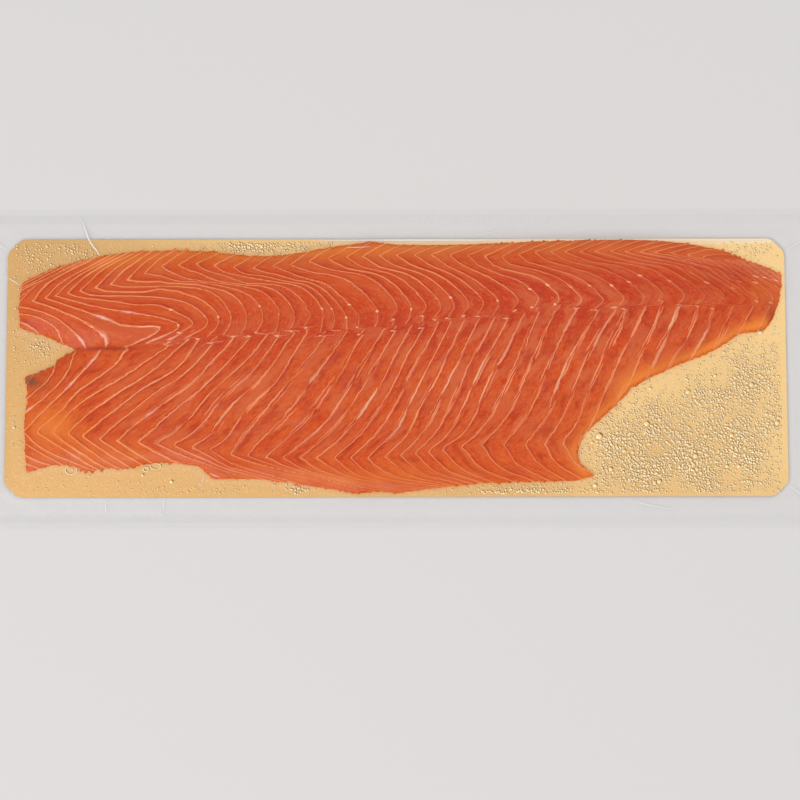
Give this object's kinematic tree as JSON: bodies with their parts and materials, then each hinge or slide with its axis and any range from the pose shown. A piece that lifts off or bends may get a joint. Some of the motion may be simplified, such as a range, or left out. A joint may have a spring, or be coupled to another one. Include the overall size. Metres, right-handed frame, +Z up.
{
  "type": "vacuum pack of smoked salmon",
  "caption": "Long trimmed side of smoked salmon, pre-sliced and laid back in shape, on a gold card board in a clear vacuum pouch.",
  "frame": {"origin": "middle of the pouch's underside, on the surface the pack lies on", "axes": "+X along the side from its tail end to its head end, +Y from belly to back, +Z up out of the pack"},
  "size_m": [0.68, 0.248, 0.0193],
  "materials": {
    "film": "clear soft vacuum film, glossy where it lies tight",
    "board": "card faced with satin gold foil",
    "salmon": "moist orange-red fish flesh with pale fat lines, slightly translucent"
  },
  "bodies": {
    "root": {"film_base": "film", "board": "board", "salmon_side": "salmon", "film_top": "film"}
  },
  "joints": []
}
